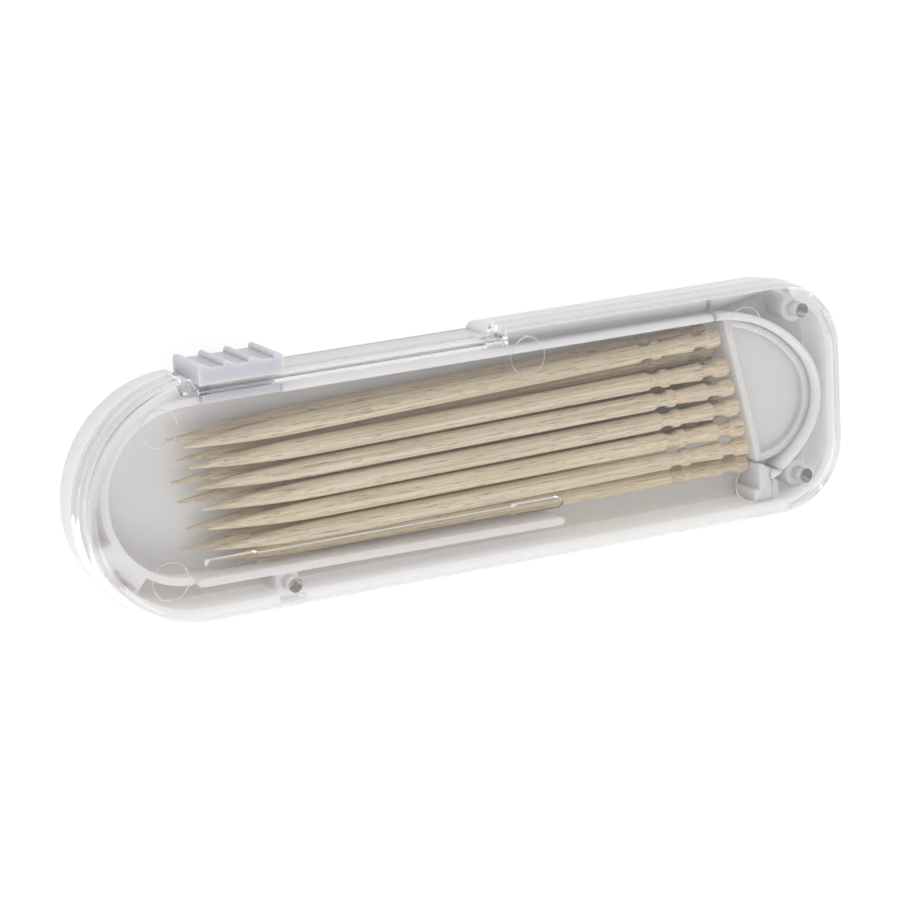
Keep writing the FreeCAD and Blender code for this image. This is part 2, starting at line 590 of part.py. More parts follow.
def makePusherHead():
    """A block that takes the strip's end, a finger behind the stick, a foot along the rim."""
    body = newBody("pusher_head")
    addWall(body, "Block", "pusherBottom", "pusherHeight", addRectangle, "pusherStart",
            "pusherFoot", "pusherEnd", "pusherTop")
    addWall(body, "Finger", "pusherBottom", "pusherHeight", addRectangle, "fingerStart",
            "footStep", "pusherStart + 0.3", "fingerTop")
    addWall(body, "Foot", "pusherBottom", "pusherHeight", addRectangle, "pusherFootStart",
            "pusherFoot", "pusherStart + 0.1", "footStep + 0.1")
    return body


def makeStick(label):
    """A turned stick along -X: its head's end face is at X = 0 and its point at -length."""
    body = newBody(label)
    sketch = newSketch(body, "Profile")
    radius, length = value("stickRadius"), value("stickLength")
    # (distance from the head's end, radius as a share of the stick's)
    turned = [(0.0, 0.8), (0.25, 1.0), (1.4, 1.0), (1.95, 0.68), (3.36, 0.66), (3.44, 1.0),
              (7.5, 0.78), (7.56, 1.0), (8.3, 1.0), (8.5, 0.76), (9.2, 0.7), (9.8, 0.8),
              (10.15, 1.0), (length - 14.0, 1.0), (length - 11.0, 0.95), (length - 8.0, 0.82),
              (length - 5.0, 0.62), (length - 2.5, 0.38), (length - 0.6, 0.17), (length, 0.12)]
    outline = [(0.0, 0.0)] + [(-along, share * radius) for along, share in turned]
    outline.append((-length, 0.0))
    for (x1, y1), (x2, y2) in zip(outline, outline[1:] + outline[:1]):
        sketch.addGeometry(line(x1, y1, x2, y2), False)
    count = len(outline)
    close(sketch, 0, count)
    sketch.addConstraint(Sketcher.Constraint("Coincident", 0, 1, -1, 1))
    for index, (along, share) in enumerate(turned):
        if along > 0:
            tail = along - length
            where = "-stickLength + %.3f" % -tail if along > length / 2 else "%.3f" % -along
            place(sketch, index, 2, x=where)
        place(sketch, index, 2, y="%.3f * stickRadius" % share)
    sketch.addConstraint(Sketcher.Constraint("Vertical", 0))
    sketch.addConstraint(Sketcher.Constraint("Vertical", count - 2))
    sketch.addConstraint(Sketcher.Constraint("PointOnObject", count - 2, 2, -1))
    turn = body.newObject("PartDesign::Revolution", "Turned")
    turn.Profile = sketch
    turn.ReferenceAxis = (sketch, ["H_Axis"])
    turn.Angle = 360.0
    sketch.Visibility = False
    return body


def laySticks():
    """The next stick in the exit lane, then the lower layer, then the upper layer."""
    # (head end x, head end y, heading in degrees) of each
    lower = [(31.53, -3.03, 2.6), (32.23, -0.79, 2.7), (31.46, 1.42, 2.0),
             (30.86, 3.6, 2.03), (31.56, 5.84, 1.98), (30.77, 8.01, 1.86)]
    upper = [(34.4, -5.0, 0.84), (33.9, -2.75, 0.8), (33.35, -0.37, 0.97),
             (32.75, 1.93, 0.97), (32.15, 4.25, 0.97), (31.15, 7.7, 2.0)]
    spots = [("next_toothpick", value("fingerStart - 0.02"), value("laneY"), value("laneZ"), 0.0)]
    rows = [(x, y, value("lowerLayer"), turn) for x, y, turn in lower]
    rows += [(x, y, value("upperLayer"), turn) for x, y, turn in upper]
    for number, (x, y, z, turn) in enumerate(rows, start=1):
        spots.append(("toothpick_%02d" % number, x, y, z, turn))
    for number, (label, x, y, z, turn) in enumerate(spots):
        stick = makeStick(label)
        roll = Rotation(Vector(1, 0, 0), 37.0 * number)
        stick.Placement = Placement(Vector(x, y, z), Rotation(Vector(0, 0, 1), turn) * roll)


makeBackShell()
makeFrontCover()
makeSlideButton()
makePusherStrip()
makePusherHead()
laySticks()
doc.recompute()

# check every object, then write one file for each piece
for item in doc.Objects:
    if "Invalid" in item.State or "Error" in item.State:
        raise RuntimeError("%s did not recompute: %s" % (item.Name, item.State))

os.makedirs("parts", exist_ok=True)
for body in [item for item in doc.Objects if item.isDerivedFrom("PartDesign::Body")]:
    shape = body.Shape
    if shape.isNull() or not shape.isValid():
        raise RuntimeError(body.Label + " has no valid shape")
    shape.exportStep(os.path.join("parts", body.Label + ".step"))
    box = shape.BoundBox
    print("%-16s solids %d  volume %8.1f  x %6.1f..%6.1f  y %6.1f..%6.1f  z %5.2f..%5.2f" % (
        body.Label, len(shape.Solids), shape.Volume,
        box.XMin, box.XMax, box.YMin, box.YMax, box.ZMin, box.ZMax))
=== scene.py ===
import bmesh
import bpy
import math
import numpy as np
from mathutils import Matrix, Vector


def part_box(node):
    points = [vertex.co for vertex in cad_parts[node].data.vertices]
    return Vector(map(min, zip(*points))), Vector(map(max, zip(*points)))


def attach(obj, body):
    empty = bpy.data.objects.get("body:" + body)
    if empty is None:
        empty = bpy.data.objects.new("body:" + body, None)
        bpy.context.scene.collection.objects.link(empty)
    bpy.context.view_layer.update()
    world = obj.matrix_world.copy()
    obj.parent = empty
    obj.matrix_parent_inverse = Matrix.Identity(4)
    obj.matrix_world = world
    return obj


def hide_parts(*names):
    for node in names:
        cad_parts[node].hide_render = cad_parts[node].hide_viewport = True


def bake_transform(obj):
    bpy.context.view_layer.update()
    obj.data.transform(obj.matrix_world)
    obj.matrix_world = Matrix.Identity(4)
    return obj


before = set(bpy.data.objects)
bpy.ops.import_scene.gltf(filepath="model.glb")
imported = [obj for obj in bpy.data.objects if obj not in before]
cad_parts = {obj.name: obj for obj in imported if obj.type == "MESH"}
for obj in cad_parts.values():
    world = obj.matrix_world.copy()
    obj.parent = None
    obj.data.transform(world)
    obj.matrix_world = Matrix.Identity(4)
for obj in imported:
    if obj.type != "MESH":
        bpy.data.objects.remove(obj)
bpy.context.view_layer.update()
millimetre = 0.001

# The case lies on its back: +Z comes out through the clear cover, +X runs to the square end,
# +Y to the slide button. Sizes below are in millimetres and angles in degrees unless a note
# says otherwise.


camera = {"focalLength": 159.46, "sensor": 36.0, "nearest": 10.0, "farthest": 10000.0,
          "location": (-190.505, 101.887, 373.506),
          "right": (0.883957, -0.049490, 0.464942), "up": (0.153746, 0.969853, -0.189070)}

# horizon and overhead are the sky's strengths, and skyFrom and skyTo the sines of the heights
# between which it goes from one to the other
studio = {"floorColour": "#F4F4F4", "floorGlow": 0.87, "floorShade": 0.22, "floorSize": 1600.0,
          "floorHeight": -0.02, "horizon": 1.14, "overhead": 0.68, "skyFrom": 0.15, "skyTo": 0.8}

# each lamp's place, the point it faces, its width and height, and its power in watts
lamps = {
    "overheadSoftbox": {"place": (-120, -420, 560), "faces": (0, 0, 0), "size": (460, 460), "power": 1.6},
}


def linear(hexColour, alpha=1.0):
    # sRGB to linear: c / 12.92 up to 0.04045, and ((c + 0.055) / 1.055) ** 2.4 above it
    channels = [int(hexColour[i:i + 2], 16) / 255 for i in (1, 3, 5)]
    return tuple(c / 12.92 if c <= 0.04045 else ((c + 0.055) / 1.055) ** 2.4
                 for c in channels) + (alpha,)


def addNode(tree, kind, settings=None, inputs=None):
    # one node with its own settings, and each input set to a value or fed by another socket
    node = tree.nodes.new("ShaderNode" + kind)
    for key, item in (settings or {}).items():
        setattr(node, key, item)
    for key, item in (inputs or {}).items():
        if isinstance(item, bpy.types.NodeSocket):
            tree.links.new(item, node.inputs[key])
        else:
            node.inputs[key].default_value = item
    return node


def newMaterial(name, build):
    # build adds the material's nodes to the tree and returns the surface's socket
    material = bpy.data.materials.new(name)
    material.use_nodes = True
    tree = material.node_tree
    tree.nodes.clear()
    addNode(tree, "OutputMaterial", None, {"Surface": build(tree)})
    return material


def highest(tree, *sockets):
    top = sockets[0]
    for other in sockets[1:]:
        top = addNode(tree, "Math", {"operation": "MAXIMUM"}, {0: top, 1: other}).outputs[0]
    return top


def newObject(name, data):
    made = bpy.data.objects.new(name, data)
    bpy.context.scene.collection.objects.link(made)
    return made


def makeCamera():
    data = bpy.data.cameras.new("camera")
    data.lens, data.sensor_width = camera["focalLength"], camera["sensor"]
    data.clip_start, data.clip_end = camera["nearest"] * millimetre, camera["farthest"] * millimetre
    eye = newObject("camera", data)
    right, up = Vector(camera["right"]), Vector(camera["up"])
    turn = Matrix((right, up, right.cross(up))).transposed().to_4x4()
    eye.matrix_world = Matrix.Translation(Vector(camera["location"]) * millimetre) @ turn
    bpy.context.scene.camera = eye


def makeSky():
    # white round the horizon, dimmer overhead
    world = bpy.data.worlds.new("studio")
    world.use_nodes = True
    tree = world.node_tree
    tree.nodes.clear()
    direction = addNode(tree, "TexCoord")
    height = addNode(tree, "SeparateXYZ", None, {0: direction.outputs["Generated"]})
    level = addNode(tree, "MapRange", {"interpolation_type": "SMOOTHSTEP"},
                    {"Value": height.outputs["Z"], "From Min": studio["skyFrom"],
                     "From Max": studio["skyTo"], "To Min": studio["horizon"],
                     "To Max": studio["overhead"]})
    light = addNode(tree, "Background", None, {"Color": (1, 1, 1, 1), "Strength": level.outputs[0]})
    addNode(tree, "OutputWorld", None, {"Surface": light.outputs[0]})
    bpy.context.scene.world = world


def whitePaper(tree):
    # matt white paper; what is seen of it is mostly its own white, so that the shadow stays faint
    path = addNode(tree, "LightPath")
    seen = highest(tree, path.outputs["Is Camera Ray"], path.outputs["Is Glossy Ray"],
                   path.outputs["Is Transmission Ray"])
    paper = addNode(tree, "BsdfDiffuse", None, {"Color": linear(studio["floorColour"])})
    glow = addNode(tree, "Emission", None, {"Color": (1, 1, 1, 1), "Strength": studio["floorGlow"]})
    shade = [channel * studio["floorShade"] for channel in linear(studio["floorColour"])[:3]]
    faint = addNode(tree, "BsdfDiffuse", None, {"Color": (*shade, 1)})
    white = addNode(tree, "AddShader", None, {0: faint.outputs[0], 1: glow.outputs[0]})
    return addNode(tree, "MixShader", None, {0: seen, 1: paper.outputs[0], 2: white.outputs[0]}).outputs[0]


def makeStudio():
    makeSky()
    half, height = studio["floorSize"] * millimetre / 2, studio["floorHeight"] * millimetre
    mesh = bpy.data.meshes.new("floor")
    mesh.from_pydata([(-half, -half, height), (half, -half, height), (half, half, height),
                      (-half, half, height)], [], [(0, 1, 2, 3)])
    mesh.materials.append(newMaterial("matt_white_paper", whitePaper))
    floor = newObject("floor", mesh)
    for name, lamp in lamps.items():
        data = bpy.data.lights.new(name, "AREA")
        data.shape = "RECTANGLE"
        data.size, data.size_y = (side * millimetre for side in lamp["size"])
        data.energy = lamp["power"]
        place = Vector(lamp["place"]) * millimetre
        towards = Vector(lamp["faces"]) * millimetre - place
        turn = towards.to_track_quat("-Z", "Y").to_matrix().to_4x4()
        newObject(name, data).matrix_world = Matrix.Translation(place) @ turn


# lampShare is what passes straight through to light the inside, and turns how many times light
# turns inside the plastic before it goes straight on
clearPlastic = {"tint": "#FEFEFE", "refraction": 1.59, "roughness": 0.03, "lampShare": "#F7F7F7",
                "turns": 4.5}

# cloud varies the gloss and skin is the fine grain from the tool; their scales are in waves to
# the metre
polypropylene = {"refraction": 1.49, "cloudScale": 260.0, "cloudDetail": 3.0, "cloudSpread": 0.05,
                 "skinScale": 3200.0, "skinDetail": 2.0, "skinStrength": 0.04, "skinDepth": 0.02}
# the milky shell's last setting names the attribute that carries the painted shade on some of its floors
milkyPlastic = {"colour": "#F5F2F2", "roughness": 0.34, "scatterDepth": 4.0, "paintedShadeName": "painted_shade"}
buttonPlastic = {"colour": "#CBCBD2", "roughness": 0.30, "scatterDepth": 1.6}
stripPlastic = {"colour": "#E3E3E7", "roughness": 0.30, "scatterDepth": 2.2}

# grain and fleck give a streak's length and width; the tones begin at shares of the noise
birch = {"pale": "#EBDDC3", "mid": "#CDBB9E", "dark": "#7C6346", "refraction": 1.45,
         "roughness": 0.62, "grain": (7.0, 0.12), "grainDetail": 4.0, "fleck": (1.1, 0.09),
         "fleckDetail": 1.0, "streakScale": 0.5, "streakRoughness": 0.6,
         "midBelow": 0.36, "paleAbove": 0.62, "fleckFrom": 0.60, "fleckFull": 0.70,
         "fleckShare": 0.5, "bumpStrength": 0.8, "bumpDepth": 0.06}


def clearPolystyrene(tree):
    # crystal polystyrene, injection moulded: colourless, glossy and strongly refracting
    glass = addNode(tree, "BsdfPrincipled", None, {
        "Base Color": linear(clearPlastic["tint"]), "Roughness": clearPlastic["roughness"],
        "IOR": clearPlastic["refraction"], "Transmission Weight": 1.0})
    path = addNode(tree, "LightPath")
    caught = addNode(tree, "Math", {"operation": "GREATER_THAN"},
                     {0: path.outputs["Ray Depth"], 1: clearPlastic["turns"]})
    straight = highest(tree, path.outputs["Is Shadow Ray"], path.outputs["Is Diffuse Ray"],
                       caught.outputs[0])
    through = addNode(tree, "BsdfTransparent", None, {"Color": linear(clearPlastic["lampShare"])})
    return addNode(tree, "MixShader", None, {0: straight, 1: glass.outputs[0],
                                             2: through.outputs[0]}).outputs[0]


def noise(tree, vector, scale, detail, **others):
    return addNode(tree, "TexNoise", None, {"Vector": vector, "Scale": scale, "Detail": detail,
                                            **others}).outputs["Fac"]


def bumped(tree, height, strength, depth):
    return addNode(tree, "Bump", None, {"Strength": strength, "Distance": depth * millimetre,
                                        "Height": height}).outputs[0]


def multiplied(tree, first, second):
    return addNode(tree, "Mix", {"data_type": "RGBA", "blend_type": "MULTIPLY"},
                   {0: 1.0, 6: first, 7: second}).outputs[2]


def scattering(settings):
    # unfilled polypropylene, injection moulded: milky, light spreads inside it, satin from the tool
    def build(tree):
        place = addNode(tree, "TexCoord").outputs["Object"]
        cloud = noise(tree, place, polypropylene["cloudScale"], polypropylene["cloudDetail"])
        spread = polypropylene["cloudSpread"]
        rough = addNode(tree, "MapRange", None, {"Value": cloud, "To Min": settings["roughness"] - spread,
                                                 "To Max": settings["roughness"] + spread})
        skin = noise(tree, place, polypropylene["skinScale"], polypropylene["skinDetail"])
        colour = linear(settings["colour"])
        # where the piece carries painted shade on some of its floors, its colour is darkened there
        if "paintedShadeName" in settings:
            painted_shade = addNode(tree, "Attribute", {"attribute_name": settings["paintedShadeName"]})
            colour = multiplied(tree, colour, painted_shade.outputs["Color"])
        return addNode(tree, "BsdfPrincipled", None, {
            "Base Color": colour, "Roughness": rough.outputs[0], "IOR": polypropylene["refraction"],
            "Subsurface Weight": 1.0, "Subsurface Radius": (1.0, 1.0, 1.0),
            "Subsurface Scale": settings["scatterDepth"] * millimetre,
            "Normal": bumped(tree, skin, polypropylene["skinStrength"],
                             polypropylene["skinDepth"])}).outputs[0]
    return build


def turnedBirch(tree):
    # birch, turned on a lathe and left raw: pale, dull, with long fine grain and short dark flecks
    along = addNode(tree, "Attribute", {"attribute_name": "grain"})
    shade = addNode(tree, "Attribute", {"attribute_name": "shade"})

    def streaks(size, detail):
        lengthwise, across = (1 / (side * millimetre) for side in size)
        scaled = addNode(tree, "Mapping", {"vector_type": "POINT"},
                         {"Vector": along.outputs["Vector"], "Scale": (lengthwise, across, across)})
        return noise(tree, scaled.outputs[0], birch["streakScale"], detail,
                     Roughness=birch["streakRoughness"])

    grain = streaks(birch["grain"], birch["grainDetail"])
    fleck = streaks(birch["fleck"], birch["fleckDetail"])
    tone = addNode(tree, "ValToRGB", None, {"Fac": grain})
    stops = tone.color_ramp.elements
    stops[0].position, stops[0].color = birch["midBelow"], linear(birch["mid"])
    stops[1].position, stops[1].color = birch["paleAbove"], linear(birch["pale"])
    marks = addNode(tree, "MapRange", None, {"Value": fleck, "From Min": birch["fleckFrom"],
                                             "From Max": birch["fleckFull"], "To Min": 0.0,
                                             "To Max": birch["fleckShare"]})
    flecked = addNode(tree, "Mix", {"data_type": "RGBA"},
                      {0: marks.outputs[0], 6: tone.outputs[0], 7: linear(birch["dark"])})
    return addNode(tree, "BsdfPrincipled", None, {
        "Base Color": multiplied(tree, flecked.outputs[2], shade.outputs["Color"]),
        "Roughness": birch["roughness"], "IOR": birch["refraction"],
        "Normal": bumped(tree, grain, birch["bumpStrength"], birch["bumpDepth"])}).outputs[0]


materials = {
    "clear": newMaterial("moulded_clear_polystyrene", clearPolystyrene),
    "milky": newMaterial("moulded_milky_polypropylene", scattering(milkyPlastic)),
    "button": newMaterial("moulded_lavender_polypropylene", scattering(buttonPlastic)),
    "strip": newMaterial("extruded_polypropylene_strip", scattering(stripPlastic)),
    "birch": newMaterial("turned_birch", turnedBirch),
}


def addPiece(name, mesh, material, body, nodes=()):
    # body is None for a piece that is attached to no body
    mesh.materials.clear()
    mesh.materials.append(materials[material])
    piece = newObject(name, mesh)
    if nodes:
        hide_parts(*nodes)
    if body:
        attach(piece, body)
    return piece


def gridMesh(name, points, closeAround=True, capEnds=False):
    # points[i, j]: row i along the shape, column j around it; neighbours are joined by quads
    rows, columns = points.shape[:2]
    index = np.arange(rows * columns).reshape(rows, columns)
    around = np.roll(index, -1, axis=1) if closeAround else index[:, 1:]
    here = index if closeAround else index[:, :-1]
    quads = np.stack([here[:-1], around[:-1], around[1:], here[1:]], axis=-1).reshape(-1, 4)
    mesh = bpy.data.meshes.new(name)
    faces = quads.tolist()
    if capEnds:
        faces += [index[0, ::-1].tolist(), index[-1].tolist()]
    mesh.from_pydata((points.reshape(-1, 3) * millimetre).tolist(), [], faces)
    mesh.update()
    mesh.shade_smooth()
    return mesh


def vertexPlaces(mesh):
    # one row for each vertex, in metres
    places = np.empty(len(mesh.vertices) * 3, np.float32)
    mesh.vertices.foreach_get("co", places)
    return places.reshape(-1, 3)


# flat, bend, sharp and hard are angles between two faces: under flat they are one flat area, over
# sharp an edge that stands out is rounded, and over hard the shading breaks. An edge over bend that
# is shorter than room roundings leaves no place for one beside it. An area of winding corners or
# more isn't made one face, and points nearer than merge become one. lift is how far the faces at
# a height are raised, and heightStep how near that height they have to be.
rounding = {"flat": 0.6, "bend": 5.0, "sharp": 35.0, "hard": 50.0, "room": 2.2, "winding": 60,
            "merge": 0.001, "lift": 0.03, "heightStep": 0.01, "segments": 2}


def mergePoints(work):
    bmesh.ops.remove_doubles(work, verts=work.verts, dist=rounding["merge"] * millimetre)


def flatAreas(work):
    # each flat area: its faces, and the edges that lie inside it, always in the same order
    flat = math.radians(rounding["flat"])
    inside = {line for line in work.edges if len(line.link_faces) == 2 and line.calc_face_angle(0) < flat}
    areas, seen = [], set()
    for start in work.faces:
        if start in seen:
            continue
        seen.add(start)
        area, lines = [start], {}
        for face in area:
            for line in face.edges:
                if line in inside:
                    lines[line] = True
                    for other in line.link_faces:
                        if other not in seen:
                            seen.add(other)
                            area.append(other)
        areas.append((area, list(lines)))
    return areas


def wholeEdges(areas):
    # the edges to take out of the flat areas, apart from long winding ones and those with a hole, which
    # one face can't fill well: an area without holes has corners - edges + faces = 1
    wanted = []
    for area, inside in areas:
        lines = {line for face in area for line in face.edges}
        corners = {vertex for line in lines for vertex in line.verts}
        if len(corners) < rounding["winding"] and len(corners) - len(lines) + len(area) == 1:
            wanted += inside
    return wanted


def setCornerNormals(mesh):
    # each corner's normal: the mean over the flat areas round its vertex on its own side of the hard
    # edges, and within the hard angle of its own face, each as heavy as the whole area is large
    work = bmesh.new()
    work.from_mesh(mesh)
    size, place = {}, {}
    for number, (area, _) in enumerate(flatAreas(work)):
        whole = sum(face.calc_area() for face in area)
        for face in area:
            size[face], place[face] = whole, number
    normals = [None] * len(mesh.loops)
    hard = math.radians(rounding["hard"])
    # an edge without two faces, or an area without a direction, counts as hard
    apart = math.tau
    for vertex in work.verts:
        left = list(vertex.link_faces)
        while left:
            group = [left.pop()]
            for face in group:
                for line in face.edges:
                    if vertex in line.verts and line.calc_face_angle(apart) < hard:
                        for other in line.link_faces:
                            if other in left:
                                left.remove(other)
                                group.append(other)
            areas = {place[face]: face.normal * size[face] for face in group}.values()
            for face in group:
                near = [heavy for heavy in areas
                        if heavy.length > 0 and heavy.angle(face.normal, apart) < hard]
                mean = sum(near, Vector()) if near else face.normal
                for corner in face.loops:
                    if corner.vert == vertex:
                        normals[corner.index] = mean.normalized()[:]
    work.free()
    mesh.normals_split_custom_set(normals)


def mouldedCopy(node, name, edge, keepSharp=None, lifted=None):
    # the node's surface with small flat faces whole and its sharp outer edges rounded, kept inside the
    # node's own box; keepSharp is a span of heights where edges stay sharp, and lifted the height of
    # faces that lie on another piece, which are raised by a hair, so that the two stay apart
    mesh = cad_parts[node].data.copy()
    work = bmesh.new()
    work.from_mesh(mesh)
    mergePoints(work)
    bmesh.ops.dissolve_limit(work, angle_limit=math.radians(rounding["flat"]), verts=work.verts,
                             edges=wholeEdges(flatAreas(work)))
    weight = work.edges.layers.float.new("bevel_weight_edge")
    bend, sharp = math.radians(rounding["bend"]), math.radians(rounding["sharp"])
    room = rounding["room"] * edge * millimetre
    tight = {vertex for line in work.edges for vertex in line.verts
             if line.calc_face_angle(0) > bend and line.calc_length() < room}
    for line in work.edges:
        if line.calc_face_angle_signed(0) > sharp and not tight & set(line.verts):
            heights = [vertex.co.z / millimetre for vertex in line.verts]
            kept = keepSharp and keepSharp[0] <= min(heights) and max(heights) <= keepSharp[1]
            line[weight] = 0.0 if kept else 1.0
    for vertex in work.verts:
        if lifted and abs(vertex.co.z / millimetre - lifted) < rounding["heightStep"]:
            vertex.co.z += rounding["lift"] * millimetre
    work.to_mesh(mesh)
    work.free()
    mesh.shade_smooth()
    stand = newObject(name, mesh)
    bevel = stand.modifiers.new("roundedEdges", "BEVEL")
    bevel.width, bevel.segments, bevel.limit_method = edge * millimetre, rounding["segments"], "WEIGHT"
    bevel.use_clamp_overlap, bevel.loop_slide, bevel.miter_outer = False, False, "MITER_ARC"
    rounded = bpy.data.meshes.new_from_object(stand.evaluated_get(bpy.context.evaluated_depsgraph_get()))
    rounded.name = name
    low, high = (np.array(corner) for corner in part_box(node))
    clipped = np.clip(vertexPlaces(rounded), low, high)
    rounded.vertices.foreach_set("co", clipped.astype(np.float32).ravel())
    bpy.data.objects.remove(stand)
    bpy.data.meshes.remove(mesh)
    setCornerNormals(rounded)
    return rounded


# edge is how wide the rounded edges are
shells = {
    "case_cover": {"node": "front_cover", "material": "clear", "slot": "clear_cover", "body": "case",
                   "edge": 0.10, "keepSharp": (6.79, 6.87), "lifted": 4.6},
    "case_back": {"node": "back_shell", "material": "milky", "slot": "milky_shell", "body": "case",
                  "edge": 0.07},
    "thumb_slide": {"node": "slide_button", "material": "button", "slot": "tinted_button", "body": "slider",
                    "edge": 0.22},
    "pusher_foot": {"node": "pusher_head", "material": "strip", "slot": "strip_plastic", "body": "pusher",
                    "edge": 0.10},
}

# painted shade on two floors: the island's floor at the square end, a little darker and greyer, and the
# floor of the pocket under the lane, darker and warmer as in the shade of the sticks above it
paintedShadeFloors = [
    {"within": ((33.0, -9.0, 4.1), (45.0, 10.0, 4.3)), "painted_shade": "#EDEEEC"},
    {"within": ((-40.0, -13.0, 1.3), (36.0, -8.9, 1.5)), "painted_shade": "#FEFBF0"},
]


def paintShadeOnFloors(mesh):
    # painted shade: a faint darker tint on these floors' faces, standing in for the shade that falls there
    centres = np.array([face.center for face in mesh.polygons]) / millimetre
    colours = np.ones((len(centres), 4), np.float32)
    for floor in paintedShadeFloors:
        low, high = (np.array(corner) for corner in floor["within"])
        colours[((centres > low) & (centres < high)).all(axis=1), :3] = linear(floor["painted_shade"])[:3]
    corners = [face.loop_total for face in mesh.polygons]
    painted_shade = mesh.attributes.new(milkyPlastic["paintedShadeName"], "FLOAT_COLOR", "CORNER")
    painted_shade.data.foreach_set("color", np.repeat(colours, corners, axis=0).ravel())


def makeShells():
    for name, shell in shells.items():
        mesh = mouldedCopy(shell["node"], name, shell["edge"], shell.get("keepSharp"), shell.get("lifted"))
        if shell["material"] == "milky":
            paintShadeOnFloors(mesh)
        addPiece(name, mesh, shell["material"], shell["body"], [shell["node"]])


toothpick = {
    "count": 12, "radius": 1.05, "columns": 48, "hard": 40.0, "firstSeed": 40,
    # from and to along the stick, how many rows, and whether the last one stands at the end: close
    # together in the turned head, wider on the plain shaft
    "rows": [(0.0, 10.6, 150, True), (10.8, 50.0, 59, False), (50.0, 65.0, 60, True)],
    # distance from the head's end, and radius as a share of the stick's
    "turning": [(0.0, 0.80), (0.10, 0.92), (0.25, 1.0), (1.40, 1.0), (1.95, 0.68), (3.34, 0.66),
                (3.42, 1.0), (7.50, 0.78), (7.56, 1.0), (8.30, 1.0), (8.50, 0.76), (9.20, 0.70),
                (9.80, 0.80), (10.15, 1.0), (51.0, 1.0), (54.0, 0.95), (57.0, 0.82), (60.0, 0.62),
                (62.5, 0.38), (64.4, 0.17), (65.0, 0.10)],
    # the solid's points this near its end make up the end
    "endDepth": 0.05,
    # spans that the unevenness is drawn from: how far out of round, and the sway's length over a
    # radian; phase is in radians, and where the stick is thinner than swayAbove it doesn't sway
    "outOfRound": (0.008, 0.02), "phase": (0.0, 6.28), "sway": 0.012, "swayLength": (7.0, 13.0),
    "swayAbove": 0.5, "grainShift": (-40.0, 40.0),
    # the least brightness, green and blue of a stick, which vary at random, and the painted shade that
    # darkens the lower layer, lying in the upper layer's shadow
    "leastTones": (0.93, 0.985, 0.96), "lowerLayerPaintedShade": 0.84, "lowerLayer": range(1, 7),
}


def stickPose(node):
    # a stick's own frame from its solid: the middle of the head's end, and the long axis from there
    points = vertexPlaces(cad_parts[node].data).astype(float) / millimetre
    middle = points.mean(0)
    axis = np.linalg.svd(points - middle, full_matrices=False)[2][0]
    axis *= -np.sign(axis[0])
    along = (points - middle) @ axis
    head = points[along < along.min() + toothpick["endDepth"]].mean(0)
    return head, axis


def makeStick(node, number):
    head, axis = stickPose(node)
    chance = np.random.default_rng(toothpick["firstSeed"] + number)
    radius, slow = toothpick["radius"], toothpick["sway"]
    distances, shares = np.array(toothpick["turning"]).T
    place = np.concatenate([np.linspace(first, last, count, endpoint=closed)
                            for first, last, count, closed in toothpick["rows"]])[:, None]
    turned = np.interp(place, distances, shares)
    angle = np.linspace(0, 2 * np.pi, toothpick["columns"], endpoint=False)[None, :]
    # slightly flattened and wavy section: r = radius * share * (1 + a cos(2t + p) + b cos(3t + q) + slow
    # sway), less the most that each can add, so that the stick stays inside its solid
    a, b = chance.uniform(*toothpick["outOfRound"], 2)
    p, q = chance.uniform(*toothpick["phase"], 2)
    sway = slow * np.sin(place / chance.uniform(*toothpick["swayLength"]) + angle + p)
    outOfRound = 1 - a + a * np.cos(2 * angle + p) - b + b * np.cos(3 * angle + q)
    r = radius * turned * (outOfRound + sway * (turned > toothpick["swayAbove"]) - slow)
    side = np.cross(axis, (0, 0, 1.0))
    side /= np.linalg.norm(side)
    rise = np.cross(side, axis)
    local = np.stack([np.broadcast_to(place, r.shape), r * np.cos(angle), r * np.sin(angle)], axis=-1)
    points = head + local[..., :1] * axis + local[..., 1:2] * side + local[..., 2:] * rise
    mesh = gridMesh("stick_%02d" % number, points, True, True)
    grain = mesh.attributes.new("grain", "FLOAT_VECTOR", "POINT")
    shift = chance.uniform(*toothpick["grainShift"], 3)
    grain.data.foreach_set("vector", ((local + shift) * millimetre).astype(np.float32).ravel())
    # painted shade: the lower layer's sticks are darkened as if in the shadow of the upper layer
    paintedLayerShade = toothpick["lowerLayerPaintedShade"] if number in toothpick["lowerLayer"] else 1.0
    bright, green, blue = (chance.uniform(least, 1.0) for least in toothpick["leastTones"])
    colours = np.ones((points.shape[0] * points.shape[1], 4), np.float32)
    colours[:, :3] = paintedLayerShade * bright * np.array([1.0, green, blue])
    shade = mesh.attributes.new("shade", "FLOAT_COLOR", "POINT")
    shade.data.foreach_set("color", colours.ravel())
    mesh.set_sharp_from_angle(angle=math.radians(toothpick["hard"]))
    return mesh


def makeSticks():
    nodes = ["next_toothpick"] + ["toothpick_%02d" % (n + 1) for n in range(toothpick["count"])]
    for number, node in enumerate(nodes):
        body = "pusher" if number == 0 else "case"
        addPiece("turned_" + node, makeStick(node, number), "birch", body, [node])


# The strip stands on edge between the heights low and high. Its middle line: a straight run at
# top, a wide sweep, a tight apex, a wide sweep back and a short tail. sweep and apex are radii,
# and start, apexCentre, turnEnd and tailEnd places along the case. The points are counts along
# each stretch, and round each edge of the section.
strip = {"thickness": 0.85, "low": 2.9, "high": 6.2, "start": -22.2, "top": 10.275, "sweep": 14.605,
         "apex": 7.575, "apexCentre": 35.7, "turnEnd": 37.9, "tailEnd": 36.85, "edgePoints": 5,
         "runPoints": 60, "sweepPoints": 30, "apexPoints": 40, "backPoints": 24, "tailPoints": 40}


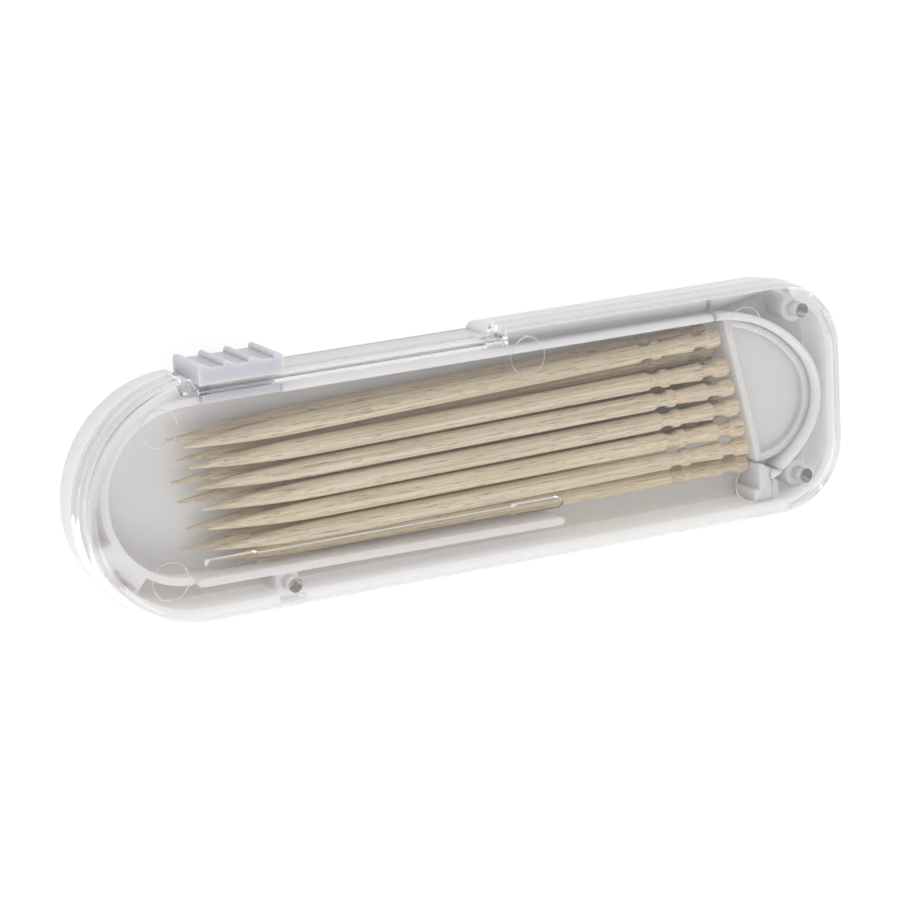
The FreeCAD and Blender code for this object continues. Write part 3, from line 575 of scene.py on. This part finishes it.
def ribbon(name, path):
    # a flat strip on edge: its section, a rounded rectangle, carried along a path in plan
    path = np.asarray(path, float)
    heading = np.gradient(path, axis=0)
    heading /= np.linalg.norm(heading, axis=1)[:, None]
    normal = np.stack([-heading[:, 1], heading[:, 0]], axis=1)
    half, low, high = strip["thickness"] / 2, strip["low"], strip["high"]
    turn = np.linspace(0, np.pi, strip["edgePoints"])
    offset = np.concatenate([half * np.cos(turn), -half * np.cos(turn)])
    height = np.concatenate([high - half + half * np.sin(turn), low + half - half * np.sin(turn)])
    points = np.empty((len(path), len(offset), 3))
    points[..., :2] = path[:, None, :] + offset[None, :, None] * normal[:, None, :]
    points[..., 2] = height
    mesh = gridMesh(name, points, True, True)
    mesh.set_sharp_from_angle(angle=math.radians(rounding["hard"]))
    return mesh


def addStrip(name, path, body, nodes=()):
    return addPiece(name, ribbon(name, path), "strip", body, nodes)


def arcPoints(x, y, radius, first, last, count):
    turn = np.linspace(first, last, count)
    return np.stack([x + radius * np.cos(turn), y + radius * np.sin(turn)], 1)


def makeStrip():
    top, sweep, apex, middle, tailEnd = (strip[key] for key in
                                         ("top", "sweep", "apex", "apexCentre", "tailEnd"))
    # the two arcs touch where the line through their centres leans by bend: sin(bend) = rise / spread
    rise, spread = sweep - top, sweep - apex
    bend = math.asin(rise / spread)
    turnStart = middle - spread * math.cos(bend)
    x = np.linspace(strip["start"], turnStart, strip["runPoints"])
    run = addStrip("strip_run", np.stack([x, np.full_like(x, top)], 1), None, ["pusher_strip"])
    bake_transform(run)
    last = -math.acos((strip["turnEnd"] - turnStart) / sweep)
    turn = np.concatenate([arcPoints(turnStart, -rise, sweep, math.pi / 2, bend, strip["sweepPoints"]),
                           arcPoints(middle, 0, apex, bend, -bend, strip["apexPoints"])[1:],
                           arcPoints(turnStart, rise, sweep, -bend, last, strip["backPoints"])[1:]])
    addStrip("strip_turn", turn, "case")
    # the tail unrolls from the turn as the pusher goes: y falls with the square root of the way along
    way = np.linspace(0, 1, strip["tailPoints"])
    end = rise - math.sqrt(sweep ** 2 - (tailEnd - turnStart) ** 2)
    y = turn[-1, 1] + (end - turn[-1, 1]) * np.sqrt(way)
    x = strip["turnEnd"] - way * (strip["turnEnd"] - tailEnd)
    tail = addStrip("strip_tail", np.stack([x, y], 1), None)
    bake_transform(tail)


# ridge is the radius of the fine ridge, radius that of the ring it makes, and the points are counts
mouldMarks = {"spots": [(6.3, 9.6), (-36.6, -7.9), (33.7, -8.9), (33.5, 9.1), (-36.8, 8.3)],
              "radius": 2.04, "height": 6.8, "ridge": 0.06, "ringPoints": 72, "ridgePoints": 8}


def makeMouldMarks():
    # a fine ridge round each ejector pin's mark: a small circle carried round a large one
    around = np.linspace(0, 2 * np.pi, mouldMarks["ringPoints"], endpoint=False)[:, None]
    section = np.linspace(0, 2 * np.pi, mouldMarks["ridgePoints"], endpoint=False)[None, :]
    ring = mouldMarks["radius"] + mouldMarks["ridge"] * np.cos(section)
    height = mouldMarks["height"] + mouldMarks["ridge"] * np.sin(section)
    for number, (x, y) in enumerate(mouldMarks["spots"], start=1):
        points = np.stack(np.broadcast_arrays(x + ring * np.cos(around), y + ring * np.sin(around),
                                              height), axis=-1)
        mesh = gridMesh("ejector_mark_%d" % number, np.concatenate([points, points[:1]]))
        work = bmesh.new()
        work.from_mesh(mesh)
        mergePoints(work)
        bmesh.ops.recalc_face_normals(work, faces=work.faces)
        work.to_mesh(mesh)
        work.free()
        addPiece("ejector_mark_%d" % number, mesh, "clear", "case")


makeCamera()
makeStudio()
print("studio ready")
makeShells()
print("shells, button and pusher ready")
makeSticks()
print("toothpicks ready")
makeStrip()
makeMouldMarks()
print("strip and mould marks ready")

scene = bpy.context.scene
scene.view_settings.view_transform = "Standard"
scene.cycles.max_bounces = 24
scene.cycles.transmission_bounces = 16
scene.cycles.diffuse_bounces = 8
scene.cycles.transparent_max_bounces = 24
